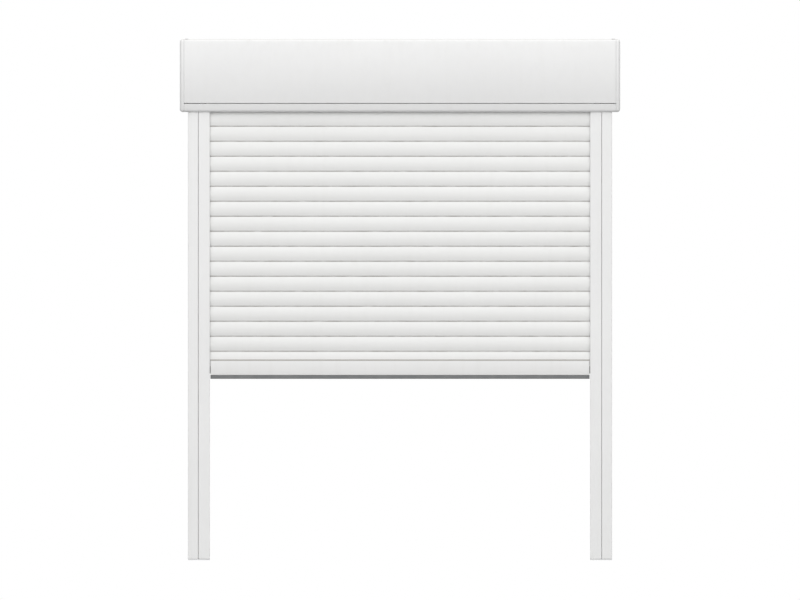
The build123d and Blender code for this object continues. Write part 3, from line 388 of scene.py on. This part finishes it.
def seam_shade():
    """Mask of the painted shade in the seams of the hanging slats, in patches, from their height."""
    group, entry, leave = new_group("seam_shade", [("Depth", "NodeSocketFloat", 0.1)],
                                    [("Mask", "NodeSocketFloat")])
    place = add(group, "ShaderNodeTexCoord")
    split = add(group, "ShaderNodeSeparateXYZ")
    group.links.new(place.outputs["Object"], split.inputs["Vector"])
    shifted = add(group, "ShaderNodeMath", operation="SUBTRACT")
    shifted.inputs[1].default_value = first_seam * mm
    group.links.new(split.outputs["Z"], shifted.inputs[0])
    row = add(group, "ShaderNodeMath", operation="DIVIDE")
    row.inputs[1].default_value = pitch * mm
    group.links.new(shifted.outputs[0], row.inputs[0])
    share = add(group, "ShaderNodeMath", operation="FRACT")
    group.links.new(row.outputs[0], share.inputs[0])
    # Painted shade just above each seam and just below the next one.
    shade_above, shade_below = 0.035, 0.93
    above = ranged(group, share.outputs[0], 0.0, shade_above, 1.0, 0.0)
    below = ranged(group, share.outputs[0], shade_below, 1.0, 0.0, 1.0)
    near = add(group, "ShaderNodeMath", operation="MAXIMUM")
    group.links.new(above, near.inputs[0])
    group.links.new(below, near.inputs[1])
    spots = ranged(group, noise(group, 90.0, (0.3, 1, 1), detail=6.0), 0.3, 0.7, 0.3, 1.0)
    mask = times(group, times(group, near.outputs[0], spots), entry.outputs["Depth"])
    group.links.new(mask, leave.inputs["Mask"])
    return group


seam_shade_effect = seam_shade()


def coil_coat(name, colour, seams):
    """Coil coat on a rolled slat: lines of the rolls, faint clouds, painted shade in the seams."""
    material, tree, shader = start_finish(name, gloss=0.42)
    coat = add(tree, "ShaderNodeGroup", node_tree=coat_effect)
    coat.inputs["Colour"].default_value = colour
    coat.inputs["Streaks"].default_value = 0.04
    lines = add(tree, "ShaderNodeGroup", node_tree=line_effect)
    lines.inputs["Upright"].default_value = 0.0
    tree.links.new(coat.outputs["Height"], lines.inputs["Height"])
    seam = add(tree, "ShaderNodeGroup", node_tree=seam_shade_effect)
    seam.inputs["Depth"].default_value = seams
    # The slats' seams are darkened with painted shade.
    tint = blended(tree, seam.outputs["Mask"], coat.outputs["Colour"], painted_shade_colour)
    join_finish(tree, shader, tint, dust=0.3, roughness=0.36, height=lines.outputs["Height"],
                depth=0.02, edge=1.2)
    return material


warm_white = (0.86, 0.86, 0.85, 1)
slat_coat = coil_coat("slat_coil_coat", warm_white, seams=0.95)
hanging = 18
finish([f"slat_{number:02d}" for number in range(1, hanging + 1)], slat_coat)
inner_coat = coil_coat("slat_coil_coat_in_box", warm_white, seams=0.0)
finish(["slat_19", "slat_20", "wound_slats"], inner_coat)
finish(["slat_end_locks"], black_nylon)

# Slats of the let-down curtain: the same rolled slats, which at rest are still wound up.
# They are drawn together in the seam above the highest hanging slat, and spread out below it
# to their full height as the curtain goes down to the sill.
let_down = 12
drop = 447
seam_low, seam_high = 596, 599
top_hinge = 594.2
slat_half = 491
curtain_y = -9.37


def slat_loops():
    """Closed outlines of a slat's section: its body, its hook, and its flange with the bead.
    Each point is its distance outwards and upwards from the hinge line, in millimetres."""
    front, crown, body, wall = 2.95, 2.8, 5.4, 0.7
    hook, hook_hollow, pin = 1.75, 1.1, 0.85
    drop_below, shoulder = 2.2, 33.2
    clearance, throat, lift, web, overlap = 0.25, 0.25, 0.325, 0.6, 0.1
    middle = (shoulder - drop_below) / 2
    radius = (((shoulder + drop_below) / 2) ** 2 + crown**2) / (2 * crown)
    centre = front + crown - radius

    def skin(b, depth=0.0):
        return (centre + sqrt((radius - depth) ** 2 - (b - middle) ** 2), b)

    def arc(low, high, depth=0.0, steps=14):
        return [skin(low + (high - low) * step / steps, depth) for step in range(steps + 1)]

    body_low, body_high = hook + clearance, pitch - hook + lift
    shell = arc(body_low, shoulder) + [(throat, body_high)] + arc(body_high, body_low, body)

    def ring(radius, low, high, step):
        return [(radius * cos(radians(turn)), pitch + radius * sin(radians(turn)))
                for turn in range(low, high, step)]

    mouth, tip, step = 49, 303, 15
    curl = ring(hook, mouth, tip + 1, step) + ring(hook_hollow, tip, mouth - 1, -step)
    flange = arc(-drop_below, body_low, 0.0, 4) + arc(body_low, -drop_below, wall, 4)
    sides = 16
    turns = [2 * pi * side / sides for side in range(sides)]
    bead = [(pin * cos(turn), pin * sin(turn)) for turn in turns]
    reach = skin(-drop_below, wall)[0] + overlap
    neck = [(0.5, -0.9), (reach, -drop_below), (reach, web - drop_below), (0.7, -0.2)]
    return [shell, curl, flange, bead, neck]


def drawn_together(height):
    """Height at rest, in the seam, of a point that ends at this height with the curtain down."""
    if height <= seam_low - drop:
        return height + drop
    low, high = seam_low, seam_high
    halvings = 60
    for _ in range(halvings):
        middle = (low + high) / 2
        share = (seam_high - middle) / (seam_high - seam_low)
        follow = share * share * (3 - 2 * share)
        if middle - follow * drop < height:
            low = middle
        else:
            high = middle
    return (low + high) / 2


points, faces = [], []
for number in range(let_down):
    hinge = top_hinge - drop + number * pitch
    for loop in slat_loops():
        first, count = len(points), len(loop)
        for x in (-slat_half, slat_half):
            for a, b in loop:
                points.append((x * mm, (curtain_y - a) * mm, drawn_together(hinge + b) * mm))
        for here in range(count):
            after = (here + 1) % count
            faces.append((first + here, first + after, first + count + after, first + count + here))
        faces.append(tuple(range(first + count - 1, first - 1, -1)))
        faces.append(tuple(range(first + count, first + 2 * count)))
spread_mesh = bpy.data.meshes.new("let_down_slats")
spread_mesh.from_pydata(points, [], faces)
spread = bpy.data.objects.new("let_down_slats", spread_mesh)
bpy.context.scene.collection.objects.link(spread)
spread.data.materials.append(inner_coat)
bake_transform(spread)

# Bottom bar: extruded aluminium, powder-coated, with a grey rubber seal in its slot.
# Black nylon glides lead its ends in the rails. Painted shade lies along its upper edge, where the
# lowest slat goes in, and painted shade darkens it towards its lower edge.
bar_coat = coated_profile(
    "bar_powder_coat", profile_white, upright=0.0, streaks=0.08, dust=0.4, roughness=0.4, edge=2.0
)
bar_tree = bar_coat.node_tree
where = add(bar_tree, "ShaderNodeSeparateXYZ")
bar_tree.links.new(add(bar_tree, "ShaderNodeTexCoord").outputs["Object"], where.inputs["Vector"])
# Painted shade along the bar's upper edge, under the lowest slat.
bar_edge_shade = ranged(bar_tree, where.outputs["Z"], -62.2 * mm, -60 * mm, 0.0, 0.8)
# Painted shade, darkening the bar towards its lower edge.
bar_lower_shade = ranged(bar_tree, where.outputs["Z"], -62 * mm, -96 * mm, 0.0, 0.13)
bar_shader = bar_tree.nodes["Principled BSDF"]
bar_shaded_colour = bar_shader.inputs["Base Color"].links[0].from_socket
for share in (bar_edge_shade, bar_lower_shade):
    bar_shaded_colour = blended(bar_tree, share, bar_shaded_colour, painted_shade_colour)
bar_tree.links.new(bar_shaded_colour, bar_shader.inputs["Base Color"])
finish(["bottom_bar"], bar_coat)
finish(["bottom_seal"], rubber)
finish(["bar_glides"], black_nylon)

# Winding shaft, its carriers and its bearing: the eight-sided tube, the plates, the screws and the
# straps are of galvanised steel, which shows its spangle. The rings and balls of the bearing are
# ground, and the moulded pieces at the shaft's ends are of nylon.


def spangled(name, colour, roughness):
    """Galvanised sheet: crystals a few millimetres wide, each with its own tone and gloss."""
    material, tree, shader = start_finish(name, gloss=0.5)
    shader.inputs["Metallic"].default_value = 1.0
    crystals = add(tree, "ShaderNodeTexVoronoi", Scale=260.0)
    tree.links.new(stretched(tree, (1, 1, 1)), crystals.inputs["Vector"])
    tone = add(tree, "ShaderNodeSeparateColor")
    tree.links.new(crystals.outputs["Color"], tone.inputs["Color"])
    shade = ranged(tree, tone.outputs["Red"], 0.0, 1.0, 0.82, 1.0)
    tint = blended(tree, 1.0, colour, shade, "MULTIPLY")
    join_finish(tree, shader, tint, dust=0.3, roughness=roughness, height=tone.outputs["Green"],
                depth=0.01, edge=0.4)
    return material


zinc = spangled("galvanised_steel", (0.58, 0.59, 0.60, 1), roughness=0.38)
finish(["octagon_shaft", "motor_bracket", "bearing_holder", "carrier_screws", "idler_pin",
        "hanger_straps"], zinc)


def ground_steel(name, colour, roughness):
    """Ground bearing steel with the fine marks of the wheel."""
    material, tree, shader = start_finish(name, gloss=0.5)
    shader.inputs["Metallic"].default_value = 1.0
    marks = noise(tree, 1800.0, (1, 0.2, 0.2), detail=3.0)
    shade = ranged(tree, noise(tree, 80.0, (1, 1, 1), detail=3.0), 0.3, 0.7, 0.9, 1.0)
    tint = blended(tree, 1.0, colour, shade, "MULTIPLY")
    join_finish(tree, shader, tint, dust=0.1, roughness=roughness, height=marks, depth=0.006, edge=0.2)
    return material


bright = ground_steel("bearing_steel", (0.62, 0.62, 0.63, 1), roughness=0.22)
finish(["bearing_outer_ring", "bearing_inner_ring", "bearing_balls"], bright)
finish(["crown_ring", "motor_output", "drive_adapter", "idler_capsule"], black_nylon)

# Tubular motor: a drawn steel tube with grey lacquer, inside the winding shaft.
# Its head is held in the bracket on the right end cap.


def lacquered_tube(name, colour):
    """Grey lacquer over the drawing lines of the tube."""
    material, tree, shader = start_finish(name, gloss=0.45)
    coat = add(tree, "ShaderNodeGroup", node_tree=coat_effect)
    coat.inputs["Colour"].default_value = colour
    coat.inputs["Streaks"].default_value = 0.0
    lines = add(tree, "ShaderNodeGroup", node_tree=line_effect)
    lines.inputs["Upright"].default_value = 0.0
    tree.links.new(coat.outputs["Height"], lines.inputs["Height"])
    join_finish(tree, shader, coat.outputs["Colour"], dust=0.15, roughness=0.35,
                height=lines.outputs["Height"], depth=0.02, edge=0.4)
    return material


finish(["tubular_motor"], lacquered_tube("motor_lacquer", (0.50, 0.51, 0.52, 1)))

# Studio: a plain pale floor under the rails' feet, soft light that comes mostly from in front and
# above, and a camera square to the shutter's front. The floor throws back less light than it
# shows, and from below it can't be seen.
scene = bpy.context.scene
scene.view_settings.view_transform = "Standard"
world = bpy.data.worlds.new("studio")
scene.world = world
world.use_nodes = True
sky = world.node_tree
sky.nodes.clear()
place = add(sky, "ShaderNodeTexCoord")
split = add(sky, "ShaderNodeSeparateXYZ")
sky.links.new(place.outputs["Generated"], split.inputs["Vector"])
light_below, light_above = -0.13, 0.46
level = ranged(sky, split.outputs["Z"], -1.0, 1.0, light_below, light_above)
from_front, from_rear = ((0, -0.83, 0.558), 2.03), ((0, 0.83, 0.558), 1.0)
shaded_top, shaded_sides = ((0, 0, 1), -0.6), (((1, 0, 0), -0.45), ((-1, 0, 0), -0.45))
for direction, strength in (from_front, from_rear, shaded_top, *shaded_sides):
    towards = add(sky, "ShaderNodeVectorMath", operation="DOT_PRODUCT")
    towards.inputs[1].default_value = direction
    sky.links.new(place.outputs["Generated"], towards.inputs[0])
    lamp = add(sky, "ShaderNodeMath", operation="ADD")
    sky.links.new(ranged(sky, towards.outputs["Value"], 0.0, 1.0, 0.0, strength), lamp.inputs[0])
    sky.links.new(level, lamp.inputs[1])
    level = lamp.outputs[0]
soft = add(sky, "ShaderNodeBackground")
soft.inputs["Color"].default_value = (1, 1, 1, 1)
sky.links.new(level, soft.inputs["Strength"])
plain = add(sky, "ShaderNodeBackground")
plain.inputs["Color"].default_value = (1, 1, 1, 1)


def seen_directly(tree):
    """1 where a ray from the camera, or one mirrored or passed on by the object, looks."""
    path = add(tree, "ShaderNodeLightPath")
    seen = path.outputs["Is Camera Ray"]
    for label in ("Is Glossy Ray", "Is Transmission Ray"):
        more = add(tree, "ShaderNodeMath", operation="MAXIMUM")
        tree.links.new(seen, more.inputs[0])
        tree.links.new(path.outputs[label], more.inputs[1])
        seen = more.outputs[0]
    return seen


mixed = add(sky, "ShaderNodeMixShader")
sky.links.new(seen_directly(sky), mixed.inputs[0])
sky.links.new(soft.outputs[0], mixed.inputs[1])
sky.links.new(plain.outputs[0], mixed.inputs[2])
sky_out = add(sky, "ShaderNodeOutputWorld")
sky.links.new(mixed.outputs[0], sky_out.inputs["Surface"])

floor_level, reach = -552.7 * mm, 6
floor_mesh = bpy.data.meshes.new("floor")
floor_corners = [(x * reach, y * reach, floor_level) for x, y in ((-1, -1), (1, -1), (1, 1), (-1, 1))]
floor_mesh.from_pydata(floor_corners, [], [(0, 1, 2, 3)])
floor = bpy.data.objects.new("floor", floor_mesh)
scene.collection.objects.link(floor)
ground = bpy.data.materials.new("floor_paper")
ground.use_nodes = True
paper = ground.node_tree
paper.nodes.clear()
pale = add(paper, "ShaderNodeBsdfDiffuse")
pale.inputs["Color"].default_value = (0.93, 0.93, 0.93, 1)
quiet = add(paper, "ShaderNodeBsdfDiffuse")
quiet.inputs["Color"].default_value = (0.27, 0.27, 0.27, 1)
laid = add(paper, "ShaderNodeMixShader")
paper.links.new(seen_directly(paper), laid.inputs[0])
paper.links.new(quiet.outputs[0], laid.inputs[1])
paper.links.new(pale.outputs[0], laid.inputs[2])
open_below = add(paper, "ShaderNodeMixShader")
paper.links.new(add(paper, "ShaderNodeNewGeometry").outputs["Backfacing"], open_below.inputs[0])
paper.links.new(laid.outputs[0], open_below.inputs[1])
paper.links.new(add(paper, "ShaderNodeBsdfTransparent").outputs[0], open_below.inputs[2])
paper_out = add(paper, "ShaderNodeOutputMaterial")
paper.links.new(open_below.outputs[0], paper_out.inputs["Surface"])
floor.data.materials.append(ground)

picture_width, picture_centre, away = 1973.3 * mm, 88.9 * mm, 4
camera = bpy.data.cameras.new("camera")
camera.type = "ORTHO"
camera.ortho_scale = picture_width
eye = bpy.data.objects.new("camera", camera)
scene.collection.objects.link(eye)
eye.location = (0, -away, picture_centre)
eye.rotation_euler = (radians(90), 0, 0)
scene.camera = eye
